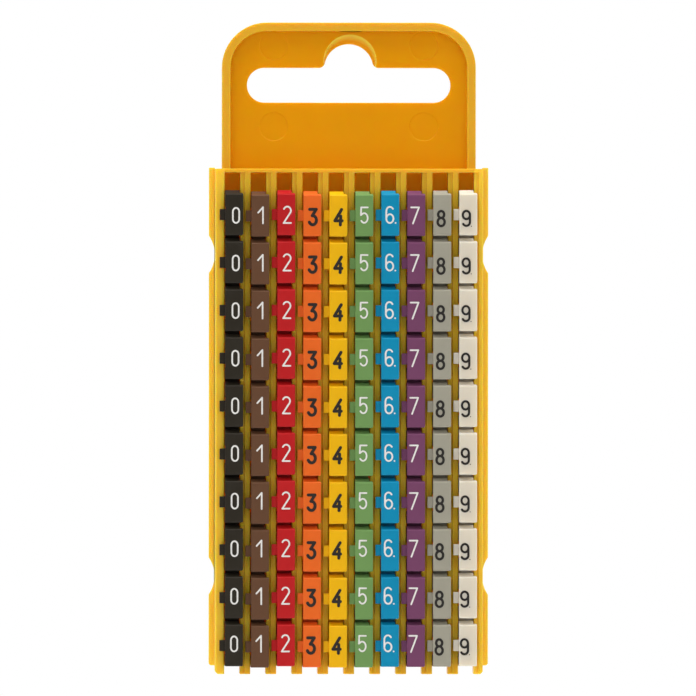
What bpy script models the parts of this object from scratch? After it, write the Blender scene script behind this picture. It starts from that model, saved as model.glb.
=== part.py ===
"""Hanging tray with ten strips of clip-on cable markers.

The tray is one yellow moulding: a back plate with two narrow flanges, stepped ribs that
form ten channels, a closing wall across their top and a hanger panel with a slot. A strip of
ten markers, numbered with one digit and moulded in one colour, slides into each channel from
the open bottom end. Every marker is a C-shaped clip that opens to the back, with a face plate
that overhangs the rib on its right and a tab that reaches over the rib on its left. On a wire
the tab goes under the next marker's face plate and into the pocket in its side.

Frame: +Z up, the markers' faces look along -Y, the tray's back lies on Y = 0 and the origin is
the crown of the hanger's slot. Depths are measured from the back plane towards the front.
"""

import math

import bmesh
import bpy

MM = 0.001

# Fits
SEAT_CLEARANCE = 0.30 * MM
SIDE_CLEARANCE = 0.10 * MM
TAB_CLEARANCE = 0.05 * MM

# Marker strips
MARKER_COUNT = 10
MARKER_PITCH = 7.55 * MM
GROOVE_WIDTH = 0.43 * MM
TOP_SLOPE_HEIGHT = 0.66 * MM
TOP_SLOPE_DEPTH = 1.20 * MM
STRIP_DEPTH = 4.90 * MM
FACE_CHAMFER = 0.12 * MM
WEB_RECESS = 2.40 * MM
WEB_THICKNESS = 0.90 * MM
OVERHANG = 0.56 * MM
OVERHANG_THICKNESS = 0.50 * MM
OVERHANG_CORNER = 0.26 * MM
TAB_REACH = 0.89 * MM
TAB_HEIGHT = 1.75 * MM
TAB_RAISE = 0.04 * MM
TAB_THICKNESS = 0.60 * MM
TAB_ROOT = 0.40 * MM
CLIP_RADIUS = 1.80 * MM
CLIP_FRONT_WALL = 1.40 * MM
CLIP_MOUTH = 2.60 * MM
MOUTH_FLARE = 0.45 * MM

# The least of a face plate's upper slope that its slanted corner leaves
CORNER_LAND = 0.05 * MM

# How far each strip has slid below the highest one, from the first channel to the last
STRIP_DROPS = (
    0.03 * MM,
    0.23 * MM,
    0.02 * MM,
    0.18 * MM,
    0.22 * MM,
    0.19 * MM,
    0.10 * MM,
    0.12 * MM,
    0.07 * MM,
    0.00 * MM,
)

# Channels and ribs
CHANNEL_COUNT = 10
CHANNEL_PITCH = 4.10 * MM
CHANNEL_WIDTH = 2.45 * MM
RIB_STEP = 0.25 * MM
LEDGE_WIDTH = 0.73 * MM
SIDE_WALL_WIDTH = 1.45 * MM
HEAD_ROOM = 2.78 * MM
RIB_PAST_STRIP = 1.28 * MM
STUB_LENGTH = 1.32 * MM
STUB_CORNER = 0.40 * MM

# Tray
PLATE_THICKNESS = 1.20 * MM
TRAY_TOP = -19.70 * MM
TOP_WALL = 0.60 * MM
FLANGE_WIDTH = 0.94 * MM
FLANGE_RISE = 0.20 * MM
FLANGE_CORNER = 0.45 * MM
NOTCH_RADIUS = 5.15 * MM
NOTCH_DEPTH = 0.92 * MM
NOTCH_BELOW_TOP = 13.51 * MM
NOTCH_ABOVE_BOTTOM = 14.13 * MM

# Hanger panel
SHOULDER_WIDTH = 1.08 * MM
PANEL_TOP = 3.40 * MM
PANEL_CORNER = 7.10 * MM
RIM_WIDTH = 1.30 * MM
RIM_HEIGHT = 0.90 * MM
RIM_SLOPE = 0.12 * MM
SLOT_WIDTH = 32.15 * MM
SLOT_TOP = -3.76 * MM
SLOT_HEIGHT = 5.47 * MM
BUMP_RADIUS = 3.87 * MM
BUMP_FILLET = 1.00 * MM
LEAD_RADIUS = 4.20 * MM
LEAD_RISE = 1.27 * MM
LEAD_SHIFT = 0.20 * MM
LEAD_DEPTH = 0.60 * MM
PIN_MARK_RADIUS = 2.30 * MM
PIN_MARK_DEPTH = 0.08 * MM
PIN_MARK_X = 11.86 * MM
PIN_MARK_LEVELS = (-0.26 * MM, -13.0 * MM)

# Widest angle between two points of a round outline, the facets of a clip's seat, and the
# angle under which two neighbouring faces count as one flat face
ARC_STEP = math.radians(10.0)
CLIP_FACETS = 7
FLAT_ANGLE = math.radians(0.1)

TRAY_COLOUR = (0.76, 0.30, 0.01, 1.0)
STRIP_COLOURS = (
    (0.026, 0.021, 0.014, 1.0),
    (0.122, 0.056, 0.028, 1.0),
    (0.480, 0.013, 0.018, 1.0),
    (0.710, 0.125, 0.020, 1.0),
    (0.780, 0.410, 0.004, 1.0),
    (0.155, 0.290, 0.089, 1.0),
    (0.002, 0.260, 0.460, 1.0),
    (0.176, 0.053, 0.125, 1.0),
    (0.350, 0.330, 0.262, 1.0),
    (0.680, 0.620, 0.510, 1.0),
)

# Depths that follow from the sizes above
BODY_BACK = PLATE_THICKNESS + SEAT_CLEARANCE
FACE_LEVEL = BODY_BACK + STRIP_DEPTH
OVERHANG_BACK = FACE_LEVEL - OVERHANG_THICKNESS
TAB_FRONT = OVERHANG_BACK - TAB_CLEARANCE
TAB_BACK = TAB_FRONT - TAB_THICKNESS
RIB_HIGH = TAB_BACK - SEAT_CLEARANCE
RIB_LOW = RIB_HIGH - RIB_STEP
WEB_FRONT = FACE_LEVEL - WEB_RECESS
WEB_BACK = WEB_FRONT - WEB_THICKNESS

# Widths that follow
BODY_WIDTH = CHANNEL_WIDTH - 2 * SIDE_CLEARANCE
INNER_HALF = (CHANNEL_PITCH * (CHANNEL_COUNT - 1) + CHANNEL_WIDTH) / 2
WALL_HALF = INNER_HALF + SIDE_WALL_WIDTH
FLANGE_HALF = WALL_HALF + FLANGE_WIDTH
PANEL_HALF = WALL_HALF - SHOULDER_WIDTH

# Heights that follow
MARKER_HEIGHT = MARKER_PITCH - GROOVE_WIDTH
FACE_HEIGHT = MARKER_HEIGHT - TOP_SLOPE_HEIGHT
PLATE_RISE = TOP_SLOPE_HEIGHT * OVERHANG_THICKNESS / TOP_SLOPE_DEPTH
STRIP_LENGTH = MARKER_PITCH * (MARKER_COUNT - 1) + MARKER_HEIGHT
STRIP_TOP = TRAY_TOP - TOP_WALL - HEAD_ROOM
RIB_BOTTOM = STRIP_TOP - STRIP_LENGTH - RIB_PAST_STRIP
PLATE_BOTTOM = RIB_BOTTOM + STUB_LENGTH
NOTCH_LEVELS = (PLATE_BOTTOM + NOTCH_ABOVE_BOTTOM, TRAY_TOP - NOTCH_BELOW_TOP)


def clear_scene():
    """Remove every object of the open file."""
    for item in list(bpy.data.objects):
        bpy.data.objects.remove(item, do_unlink=True)


def plastic(name, colour, roughness):
    """Return a moulded plastic material."""
    material = bpy.data.materials.new(name)
    material.use_nodes = True
    shader = material.node_tree.nodes["Principled BSDF"]
    shader.inputs["Base Color"].default_value = colour
    shader.inputs["Roughness"].default_value = roughness
    shader.inputs["Metallic"].default_value = 0.0
    material.diffuse_color = colour
    return material


def arc(centre, radius, start, end):
    """Return points along an arc, both ends included; the angles are in radians."""
    steps = max(2, math.ceil(abs(end - start) / ARC_STEP))
    points = []
    for step in range(steps + 1):
        angle = start + (end - start) * step / steps
        points.append((centre[0] + radius * math.cos(angle), centre[1] + radius * math.sin(angle)))
    return points


def mirrored(half, middle=()):
    """Close a right-hand half outline, listed upwards, with its mirror image."""
    return list(half) + list(middle) + [(-x, z) for x, z in reversed(half)]


def from_front(x, z, depth):
    """Place a point of an outline seen from the front."""
    return (x, -depth, z)


def from_above(x, depth, z):
    """Place a point of an outline seen from above."""
    return (x, -depth, z)


def from_side(depth, z, x):
    """Place a point of an outline seen from the side."""
    return (x, -depth, z)


def mesh_object(name, shape):
    """Turn a bmesh into an object of the scene."""
    bmesh.ops.recalc_face_normals(shape, faces=shape.faces)
    mesh = bpy.data.meshes.new(name)
    shape.to_mesh(mesh)
    shape.free()
    item = bpy.data.objects.new(name, mesh)
    bpy.context.scene.collection.objects.link(item)
    return item


def add_walls(shape, start, end):
    """Join two loops of points with one wall between each pair of neighbours."""
    for index in range(len(start)):
        following = (index + 1) % len(start)
        shape.faces.new((start[index], end[index], end[following], start[following]))


def add_prism(shape, outline, place, low, high):
    """Sweep a flat outline from low to high along its normal, closed at both ends."""
    start = [shape.verts.new(place(u, v, low)) for u, v in outline]
    end = [shape.verts.new(place(u, v, high)) for u, v in outline]
    add_walls(shape, start, end)
    shape.faces.new(start)
    shape.faces.new(end)


def prism(name, outline, place, low, high):
    """Make an object that is one swept outline."""
    shape = bmesh.new()
    add_prism(shape, outline, place, low, high)
    return mesh_object(name, shape)


def loft(name, outlines, depths):
    """Make an object that blends from one front outline to the next, each at its depth."""
    shape = bmesh.new()
    rings = []
    for outline, depth in zip(outlines, depths):
        rings.append([shape.verts.new(from_front(x, z, depth)) for x, z in outline])
    for lower, upper in zip(rings, rings[1:]):
        add_walls(shape, lower, upper)
    shape.faces.new(rings[0])
    shape.faces.new(rings[-1])
    return mesh_object(name, shape)


def merge_flat_faces(mesh):
    """Merge the pieces that a Boolean leaves of each flat face."""
    shape = bmesh.new()
    shape.from_mesh(mesh)
    bmesh.ops.dissolve_limit(
        shape,
        angle_limit=FLAT_ANGLE,
        verts=shape.verts,
        edges=shape.edges,
    )
    shape.to_mesh(mesh)
    shape.free()


def boolean(target, tool, operation):
    """Join or cut the target with a tool, then remove the tool."""
    modifier = target.modifiers.new(operation.lower(), "BOOLEAN")
    modifier.operation = operation
    modifier.solver = "EXACT"
    modifier.object = tool
    graph = bpy.context.evaluated_depsgraph_get()
    graph.update()
    result = bpy.data.meshes.new_from_object(target.evaluated_get(graph))
    target.modifiers.remove(modifier)
    old = target.data
    target.data = result
    bpy.data.meshes.remove(old)
    bpy.data.objects.remove(tool, do_unlink=True)
    merge_flat_faces(result)


def channel_centre(index):
    """Return the X of a channel's middle."""
    return CHANNEL_PITCH * (index - (CHANNEL_COUNT - 1) / 2)


def tray_plate():
    """Make the back plate with its flanges and finger notches."""
    corner = (FLANGE_HALF - FLANGE_CORNER, PLATE_BOTTOM + FLANGE_CORNER)
    half = arc(corner, FLANGE_CORNER, -math.pi / 2, 0.0)
    spread = math.acos((NOTCH_RADIUS - NOTCH_DEPTH) / NOTCH_RADIUS)
    for level in NOTCH_LEVELS:
        centre = (FLANGE_HALF - NOTCH_DEPTH + NOTCH_RADIUS, level)
        half += arc(centre, NOTCH_RADIUS, math.pi + spread, math.pi - spread)
    flange_top = TRAY_TOP + FLANGE_RISE
    half += [(FLANGE_HALF, flange_top), (WALL_HALF, flange_top), (WALL_HALF, TRAY_TOP)]
    return prism("tray", mirrored(half), from_front, 0.0, PLATE_THICKNESS)


def rib(left, right):
    """Make one stepped rib, with its lower ledge under the overhang of the strip on its left."""
    outline = [
        (left, 0.0),
        (right, 0.0),
        (right, RIB_HIGH),
        (left + LEDGE_WIDTH, RIB_HIGH),
        (left + LEDGE_WIDTH, RIB_LOW),
        (left, RIB_LOW),
    ]
    return prism("rib", outline, from_above, RIB_BOTTOM, TRAY_TOP)


def left_wall():
    """Make the left side wall, which no face plate overhangs."""
    outline = [
        (-WALL_HALF, RIB_BOTTOM),
        (-INNER_HALF, RIB_BOTTOM),
        (-INNER_HALF, TRAY_TOP),
        (-WALL_HALF, TRAY_TOP),
    ]
    return prism("left_wall", outline, from_front, 0.0, RIB_HIGH)


def tray_ribs():
    """Return the two side walls and the ribs between the channels."""
    ribs = [left_wall()]
    for index in range(CHANNEL_COUNT - 1):
        left = channel_centre(index) + CHANNEL_WIDTH / 2
        ribs.append(rib(left, channel_centre(index + 1) - CHANNEL_WIDTH / 2))
    ribs.append(rib(INNER_HALF, WALL_HALF))
    return ribs


def stub_corner(side):
    """Make the cutter that slants the outer corner of a side wall's lower end."""
    outline = [
        (side * (WALL_HALF - 2 * STUB_CORNER), RIB_BOTTOM - STUB_CORNER),
        (side * (WALL_HALF + STUB_CORNER), RIB_BOTTOM - STUB_CORNER),
        (side * (WALL_HALF + STUB_CORNER), RIB_BOTTOM + 2 * STUB_CORNER),
    ]
    return prism("stub_corner", outline, from_front, -PLATE_THICKNESS, FACE_LEVEL)


def top_wall():
    """Make the wall that closes the channels at the top."""
    outline = mirrored([(WALL_HALF, TRAY_TOP - TOP_WALL), (WALL_HALF, TRAY_TOP)])
    return prism("top_wall", outline, from_front, 0.0, RIB_HIGH)


def panel_outline(inset, bottom):
    """Return the hanger's outline, moved inwards by an inset."""
    half_width = PANEL_HALF - inset
    radius = PANEL_CORNER - inset
    centre = (half_width - radius, PANEL_TOP - inset - radius)
    return mirrored([(half_width, bottom)] + arc(centre, radius, 0.0, math.pi / 2))


def panel_field():
    """Make the cutter of the hanger's sunk field, whose sides slope outwards."""
    insets = (RIM_WIDTH + RIM_SLOPE, RIM_WIDTH, RIM_WIDTH)
    depths = (PLATE_THICKNESS, PLATE_THICKNESS + RIM_HEIGHT, FACE_LEVEL)
    return loft("field", [panel_outline(inset, TRAY_TOP) for inset in insets], depths)


def slot_outline():
    """Return the hanging slot: round ends and a filleted bump in the middle of its top."""
    end_radius = SLOT_HEIGHT / 2
    end_centre = (SLOT_WIDTH / 2 - end_radius, SLOT_TOP - end_radius)
    rise = SLOT_TOP + BUMP_FILLET + BUMP_RADIUS
    reach = math.sqrt((BUMP_RADIUS + BUMP_FILLET) ** 2 - rise**2)
    tilt = math.atan2(rise, reach)
    half = arc(end_centre, end_radius, -math.pi / 2, math.pi / 2)
    half += arc((reach, SLOT_TOP + BUMP_FILLET), BUMP_FILLET, -math.pi / 2, tilt - math.pi)
    bump = arc((0.0, -BUMP_RADIUS), BUMP_RADIUS, tilt, math.pi / 2)
    return mirrored(half + bump[1:-1], [(0.0, 0.0)])


def lead_in():
    """Make the cutter of the crescent bevel round the slot's bump."""
    outlines = []
    depths = []
    for share in (-0.5, 1.5):
        radius = BUMP_RADIUS + (LEAD_RADIUS - BUMP_RADIUS) * share
        centre = (LEAD_SHIFT * share, LEAD_RISE * share - BUMP_RADIUS)
        outlines.append(arc(centre, radius, ARC_STEP / 2, 2 * math.pi + ARC_STEP / 2)[:-1])
        depths.append(PLATE_THICKNESS - LEAD_DEPTH * (1.0 - share))
    return loft("lead_in", outlines, depths)


def pin_mark(x, z):
    """Make the cutter of one shallow round ejector mark."""
    outline = arc((x, z), PIN_MARK_RADIUS, 0.0, 2 * math.pi)[:-1]
    return prism("pin_mark", outline, from_front, PLATE_THICKNESS - PIN_MARK_DEPTH, RIB_HIGH)


def make_tray():
    """Make the whole tray moulding."""
    tray = tray_plate()
    for piece in tray_ribs() + [top_wall()]:
        boolean(tray, piece, "UNION")
    panel = panel_outline(0.0, TRAY_TOP - TOP_WALL / 2)
    rim_level = PLATE_THICKNESS + RIM_HEIGHT
    boolean(tray, prism("panel", panel, from_front, 0.0, rim_level), "UNION")
    boolean(tray, panel_field(), "DIFFERENCE")
    for side in (-1, 1):
        boolean(tray, stub_corner(side), "DIFFERENCE")
    slot = prism("slot", slot_outline(), from_front, -PLATE_THICKNESS, 2 * PLATE_THICKNESS)
    boolean(tray, slot, "DIFFERENCE")
    boolean(tray, lead_in(), "DIFFERENCE")
    for level in PIN_MARK_LEVELS:
        for side in (-1, 1):
            boolean(tray, pin_mark(side * PIN_MARK_X, level), "DIFFERENCE")
    tray.data.name = "tray"
    tray.data.materials.clear()
    tray.data.materials.append(plastic("tray_plastic", TRAY_COLOUR, 0.35))


def marker_centre(index):
    """Return the Z of the middle of a marker's face, below its strip's top end."""
    return -(TOP_SLOPE_HEIGHT + FACE_HEIGHT / 2 + MARKER_PITCH * index)


def marker_ends(z):
    """Return the Z of a marker's upper and lower end from the middle of its face."""
    return z + FACE_HEIGHT / 2 + TOP_SLOPE_HEIGHT, z - FACE_HEIGHT / 2


def plate_section(z, top_cut, bottom_cut):
    """Return a face plate's outline from the side, from top to bottom.

    The plate's top is the front of the marker's upper slope. The cuts shorten its back edge
    at the top and the whole plate at the bottom.
    """
    top = z + FACE_HEIGHT / 2
    low = z - FACE_HEIGHT / 2 + bottom_cut
    return [
        (OVERHANG_BACK, top + PLATE_RISE - top_cut),
        (FACE_LEVEL - OVERHANG_THICKNESS * CORNER_LAND / PLATE_RISE, top + CORNER_LAND),
        (FACE_LEVEL, top),
        (FACE_LEVEL, low + FACE_CHAMFER),
        (FACE_LEVEL - FACE_CHAMFER, low),
        (OVERHANG_BACK, low),
    ]


def clip_section(z):
    """Return a marker's back from the side, from bottom to top: two jaws round the wire."""
    high, low = marker_ends(z)
    seat_depth = FACE_LEVEL - CLIP_FRONT_WALL - CLIP_RADIUS
    lip = math.asin(CLIP_MOUTH / 2 / CLIP_RADIUS)
    sweep = 2 * (math.pi - lip)
    points = [
        (WEB_BACK, low),
        (BODY_BACK, low),
        (BODY_BACK, z - CLIP_MOUTH / 2 - MOUTH_FLARE),
    ]
    for step in range(CLIP_FACETS + 1):
        angle = lip - math.pi + sweep * step / CLIP_FACETS
        depth = seat_depth + CLIP_RADIUS * math.cos(angle)
        points.append((depth, z + CLIP_RADIUS * math.sin(angle)))
    return points + [
        (BODY_BACK, z + CLIP_MOUTH / 2 + MOUTH_FLARE),
        (BODY_BACK, high),
        (WEB_BACK, high),
    ]


def add_overhang(shape, start, z):
    """Draw one face plate out over the rib on its right, with slanted corners."""
    corner = min(OVERHANG_CORNER, PLATE_RISE - CORNER_LAND)
    edge = BODY_WIDTH / 2 + OVERHANG
    for x, cut in ((edge - corner, 0.0), (edge, corner)):
        end = [shape.verts.new(from_side(u, v, x)) for u, v in plate_section(z, cut, cut)]
        add_walls(shape, start, end)
        start = end
    shape.faces.new(start)


def strip_body():
    """Make the markers' bodies, their face plates and the webs between them."""
    centres = [marker_centre(index) for index in range(MARKER_COUNT)]
    front = []
    back = []
    plates = []
    for z in centres:
        high, low = marker_ends(z)
        front += [(WEB_FRONT, high), (FACE_LEVEL - TOP_SLOPE_DEPTH, high)]
        section = plate_section(z, 0.0, 0.0)
        plates.append((z, range(len(front) - 1, len(front) - 1 + len(section))))
        front += section
        front.append((WEB_FRONT, low))
    for z in reversed(centres):
        back += clip_section(z)
    outline = front[1:-1] + back[1:-1]

    shape = bmesh.new()
    left = [shape.verts.new(from_side(u, v, -BODY_WIDTH / 2)) for u, v in outline]
    right = [shape.verts.new(from_side(u, v, BODY_WIDTH / 2)) for u, v in outline]
    add_walls(shape, left, right)
    shape.faces.new(left)
    covered = {index for _, places in plates for index in places[1:-1]}
    shape.faces.new([point for index, point in enumerate(right) if index not in covered])
    for z, places in plates:
        add_overhang(shape, [right[index] for index in places], z)
    return mesh_object("marker_strip", shape)


def marker_blocks(name, left, right, back, front, half_height):
    """Make one block for each marker of a strip, in line with its tab."""
    shape = bmesh.new()
    for index in range(MARKER_COUNT):
        z = marker_centre(index) + TAB_RAISE
        corners = [
            (left, z - half_height),
            (right, z - half_height),
            (right, z + half_height),
            (left, z + half_height),
        ]
        add_prism(shape, corners, from_front, back, front)
    return mesh_object(name, shape)


def strip_mesh():
    """Return the mesh that every strip shares, with its origin at the strip's top end."""
    strip = strip_body()
    edge = BODY_WIDTH / 2
    half_height = TAB_HEIGHT / 2
    tabs = marker_blocks("tabs", -edge - TAB_REACH, TAB_ROOT - edge, TAB_BACK, TAB_FRONT, half_height)
    boolean(strip, tabs, "UNION")
    floor = edge - (TAB_REACH - OVERHANG) - TAB_CLEARANCE
    pockets = marker_blocks(
        "pockets",
        floor,
        edge + OVERHANG / 2,
        TAB_BACK - TAB_CLEARANCE,
        OVERHANG_BACK,
        half_height + TAB_CLEARANCE,
    )
    boolean(strip, pockets, "DIFFERENCE")
    mesh = strip.data
    mesh.name = "marker_strip"
    mesh.materials.clear()
    mesh.materials.append(None)
    bpy.data.objects.remove(strip, do_unlink=True)
    return mesh


def make_strip(index, mesh):
    """Place one strip in its channel and give it its colour."""
    strip = bpy.data.objects.new(f"marker_strip_{index}", mesh)
    bpy.context.scene.collection.objects.link(strip)
    drop = STRIP_DROPS[index % len(STRIP_DROPS)]
    strip.location = (channel_centre(index), 0.0, STRIP_TOP - drop)
    slot = strip.material_slots[0]
    slot.link = "OBJECT"
    colour = STRIP_COLOURS[index % len(STRIP_COLOURS)]
    slot.material = plastic(f"strip_plastic_{index}", colour, 0.45)


def build():
    """Make the tray and fill its channels."""
    clear_scene()
    make_tray()
    mesh = strip_mesh()
    for index in range(CHANNEL_COUNT):
        make_strip(index, mesh)
    bpy.context.view_layer.update()


build()
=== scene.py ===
import math

import bmesh
import bpy
from mathutils import Matrix, Vector


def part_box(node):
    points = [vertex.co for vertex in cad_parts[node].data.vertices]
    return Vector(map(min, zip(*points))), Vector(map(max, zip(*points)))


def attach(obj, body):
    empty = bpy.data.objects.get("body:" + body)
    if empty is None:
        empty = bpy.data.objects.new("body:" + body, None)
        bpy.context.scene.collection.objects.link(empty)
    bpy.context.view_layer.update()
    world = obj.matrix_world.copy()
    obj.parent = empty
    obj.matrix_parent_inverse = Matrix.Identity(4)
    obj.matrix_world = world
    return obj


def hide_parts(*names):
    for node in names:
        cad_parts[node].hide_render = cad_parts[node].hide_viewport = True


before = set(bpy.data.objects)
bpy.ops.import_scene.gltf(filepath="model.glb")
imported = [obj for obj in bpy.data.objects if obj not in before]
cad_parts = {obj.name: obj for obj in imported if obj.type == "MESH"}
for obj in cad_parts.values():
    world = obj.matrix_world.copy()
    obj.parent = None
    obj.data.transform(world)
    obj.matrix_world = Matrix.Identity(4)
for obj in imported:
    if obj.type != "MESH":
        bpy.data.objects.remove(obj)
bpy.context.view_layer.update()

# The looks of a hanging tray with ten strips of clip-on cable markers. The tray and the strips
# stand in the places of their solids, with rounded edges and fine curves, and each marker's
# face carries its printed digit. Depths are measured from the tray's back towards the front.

MM = 0.001

# Fits
SEAT_CLEARANCE = 0.30 * MM
TAB_CLEARANCE = 0.05 * MM

# Marker strips
MARKER_COUNT = 10
MARKER_PITCH = 7.55 * MM
GROOVE_WIDTH = 0.43 * MM
TOP_SLOPE_HEIGHT = 0.66 * MM
TOP_SLOPE_DEPTH = 1.20 * MM
FACE_CHAMFER = 0.12 * MM
WEB_RECESS = 2.40 * MM
WEB_THICKNESS = 0.90 * MM
BODY_WIDTH = 2.25 * MM
OVERHANG = 0.56 * MM
OVERHANG_THICKNESS = 0.50 * MM
OVERHANG_CORNER = 0.26 * MM
CORNER_LAND = 0.12 * MM
TAB_REACH = 0.89 * MM
TAB_HEIGHT = 1.75 * MM
TAB_RAISE = 0.04 * MM
TAB_THICKNESS = 0.60 * MM
TAB_ROOT = 0.40 * MM
CLIP_RADIUS = 1.80 * MM
CLIP_FRONT_WALL = 1.40 * MM
CLIP_MOUTH = 2.60 * MM
MOUTH_FLARE = 0.45 * MM

# Channels and ribs
CHANNEL_COUNT = 10
CHANNEL_PITCH = 4.10 * MM
CHANNEL_WIDTH = 2.45 * MM
RIB_STEP = 0.25 * MM
LEDGE_WIDTH = 0.73 * MM
SIDE_WALL_WIDTH = 1.45 * MM
STUB_LENGTH = 1.32 * MM
STUB_CORNER = 0.40 * MM

# Tray
PLATE_THICKNESS = 1.20 * MM
TRAY_TOP = -19.70 * MM
TOP_WALL = 0.60 * MM
FLANGE_RISE = 0.20 * MM
FLANGE_CORNER = 0.45 * MM
NOTCH_RADIUS = 5.15 * MM
NOTCH_DEPTH = 0.92 * MM
NOTCH_BELOW_TOP = 13.51 * MM
NOTCH_ABOVE_BOTTOM = 14.13 * MM

# Hanger panel
SHOULDER_WIDTH = 1.08 * MM
PANEL_CORNER = 7.10 * MM
RIM_WIDTH = 1.30 * MM
RIM_HEIGHT = 0.90 * MM
RIM_SLOPE = 0.12 * MM
SLOT_WIDTH = 32.15 * MM
SLOT_TOP = -3.76 * MM
SLOT_HEIGHT = 5.47 * MM
BUMP_RADIUS = 3.87 * MM
BUMP_FILLET = 1.00 * MM
LEAD_RADIUS = 4.20 * MM
LEAD_RISE = 1.27 * MM
LEAD_SHIFT = 0.20 * MM
LEAD_DEPTH = 0.60 * MM
# The crescent bevel's cutter runs past the bevel's two ends by half its depth
LEAD_SHARES = (-0.5, 1.5)
PIN_MARK_RADIUS = 2.30 * MM
PIN_MARK_DEPTH = 0.08 * MM
PIN_MARK_X = 11.86 * MM
PIN_MARK_LEVELS = (-0.26 * MM, -13.0 * MM)

# Fineness of curves and edges
ARC_STEP = math.radians(4.0)
# The corners of the hanger's sunk field take a whole number of steps
FIELD_STEP = math.pi / 2 / round(math.pi / 2 / ARC_STEP)
PRINT_STEP = math.radians(12.0)
FLAT_ANGLE = math.radians(0.1)
EDGE_ANGLE = math.radians(28.0)
SMOOTH_ANGLE = math.radians(38.0)
EDGE_SEGMENTS = 2
TRAY_EDGE = 0.09 * MM
STRIP_EDGE = 0.08 * MM
RIB_ROUND = 0.20 * MM
RIB_ROUND_STEP = math.radians(15.0)

# Printed digits
PRINT_THICKNESS = 0.012 * MM
THIN_STROKE = 0.26 * MM
BOLD_STROKE = 0.49 * MM
ROUND_STROKE = 0.40 * MM
NINE_STROKE = 0.36 * MM
# Points of a path that lie nearer than this, in millimetres, are one point
SAME_POINT = 0.001

# The digits were printed at a pitch of their own, and each row a little further left
PRINT_PITCH = 7.506 * MM
PRINT_DRIFT = -0.028 * MM

# Where the middle of each column's first digit lies from the middle of its marker's face
DIGIT_PLACES = (
    (0.26 * MM, -0.09 * MM),
    (0.05 * MM, 0.13 * MM),
    (0.14 * MM, 0.01 * MM),
    (0.07 * MM, -0.19 * MM),
    (0.01 * MM, -0.16 * MM),
    (-0.01 * MM, 0.11 * MM),
    (-0.08 * MM, 0.08 * MM),
    (-0.21 * MM, 0.02 * MM),
    (-0.19 * MM, -0.50 * MM),
    (-0.31 * MM, -0.53 * MM),
)
WHITE_PRINT_COLUMNS = (0, 1, 2, 5, 6, 7)

# Finish of the plastics and the ink
GRAIN = 0.02 * MM
GRAIN_STRENGTH = 0.35
TRAY_ROUGHNESS = 0.36
STRIP_ROUGHNESS = 0.42
ROUGHNESS_BELOW = 0.05
ROUGHNESS_ABOVE = 0.06
INK_ROUGHNESS = (0.45, 0.60)
TRAY_SPECULAR = 0.10
STRIP_SPECULAR = 0.18
INK_SPECULAR = 0.35
COLOUR_DRIFT = 0.015
INK_DRIFT = 0.05

# Light that spreads inside the plastic: its share in the tray, its reach, and how far each of
# red, green and blue goes of that reach
TRAY_GLOW = 0.8
GLOW_REACH = 2.0 * MM
TRAY_GLOW_RADIUS = (1.0, 0.45, 0.08)
LEAST_GLOW_RADIUS = 0.08

# Noises: the scale (per metre) and detail of each, and the part of its range that is used
DRIFT_NOISE = (90.0, 3.0)
GLOSS_NOISE = (420.0, 4.0)
GRAIN_NOISE = (3200.0, 3.0)
INK_NOISE = (2600.0, 3.0)
INK_GLOSS_NOISE = (1500.0, 2.0)
NOISE_LOW = 0.35
NOISE_HIGH = 0.65

# Places of a Mix node's sockets, whose names repeat
MIX_FACTOR = 0
MIX_FIRST_VALUE = 2
MIX_SECOND_VALUE = 3
MIX_FIRST_COLOUR = 6
MIX_SECOND_COLOUR = 7
MIX_VALUE = 0
MIX_COLOUR = 2

# Camera and stage
IMAGE_SIZE = 696
MM_PER_PIXEL = 0.158 * MM
CAMERA_TARGET = Vector((-0.052 * MM, 0.0, -47.98 * MM))
CAMERA_DISTANCE = 3.0
CAMERA_NEAR = 0.01
CAMERA_AZIMUTH = math.radians(-1.65)
CAMERA_ROLL = math.radians(-0.05)
SENSOR = 36.0
FLOOR_LEVEL = -160.0 * MM
FLOOR_HALF = 400.0 * MM
FLOOR_COLOUR = (0.85, 0.85, 0.85, 1.0)
FLOOR_ROUGHNESS = 0.8

# Light: the world's even light, its reflection from in front, the directions (their Y) where
# that dim patch is full and where it ends, and each lamp's place (m), size (m) and power (W)
AMBIENT = 0.43
FRONT_MIRROR = 0.06
FRONT_FULL = -0.95
FRONT_END = -0.55
LAMPS = (
    ("left_lamp", (-0.62, -0.34, 0.02), (0.50, 0.90), 1.30),
    ("right_lamp", (0.62, -0.34, 0.02), (0.50, 0.90), 0.88),
    ("upper_lamp", (0.0, -0.50, 0.40), (0.90, 0.35), 0.35),
    ("top_lamp", (0.0, -0.10, 0.58), (0.90, 0.25), 5.0),
    ("back_lamp", (0.0, 0.50, 0.30), (0.90, 0.50), 2.0),
)

# Colours: the tray plate's own, and paler ones laid on the tray's other parts as painted light
PLATE_COLOUR = (0.71, 0.330, 0.001, 1.0)
CHANNEL_PAINTED_LIGHT_COLOUR = (1.00, 0.680, 0.002, 1.0)
RAISED_PAINTED_LIGHT_COLOUR = (0.69, 0.415, 0.029, 1.0)
CRESCENT_PAINTED_LIGHT_COLOUR = (0.79, 0.620, 0.070, 1.0)
SIDE_WALL_PAINTED_LIGHT_COLOUR = (0.86, 0.560, 0.050, 1.0)
FLANGE_PAINTED_LIGHT_COLOUR = (0.86, 0.590, 0.070, 1.0)

# Where each of the tray's painted-light colours starts and where it is full, along X, Y or Z from the
# plane that it belongs to
FRONT_BAND = (0.4 * MM, 0.1 * MM)
CHANNEL_BAND = (0.0, -0.3 * MM)
RAISED_BAND = (-0.1 * MM, -0.7 * MM)
SUNK_BAND = (0.01 * MM, 0.05 * MM)
CRESCENT_BAND = (1.5 * MM, 1.0 * MM)
WALL_BAND = (-0.05 * MM, 0.10 * MM)
FLANGE_BAND = (-0.1 * MM, -0.8 * MM)

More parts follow.
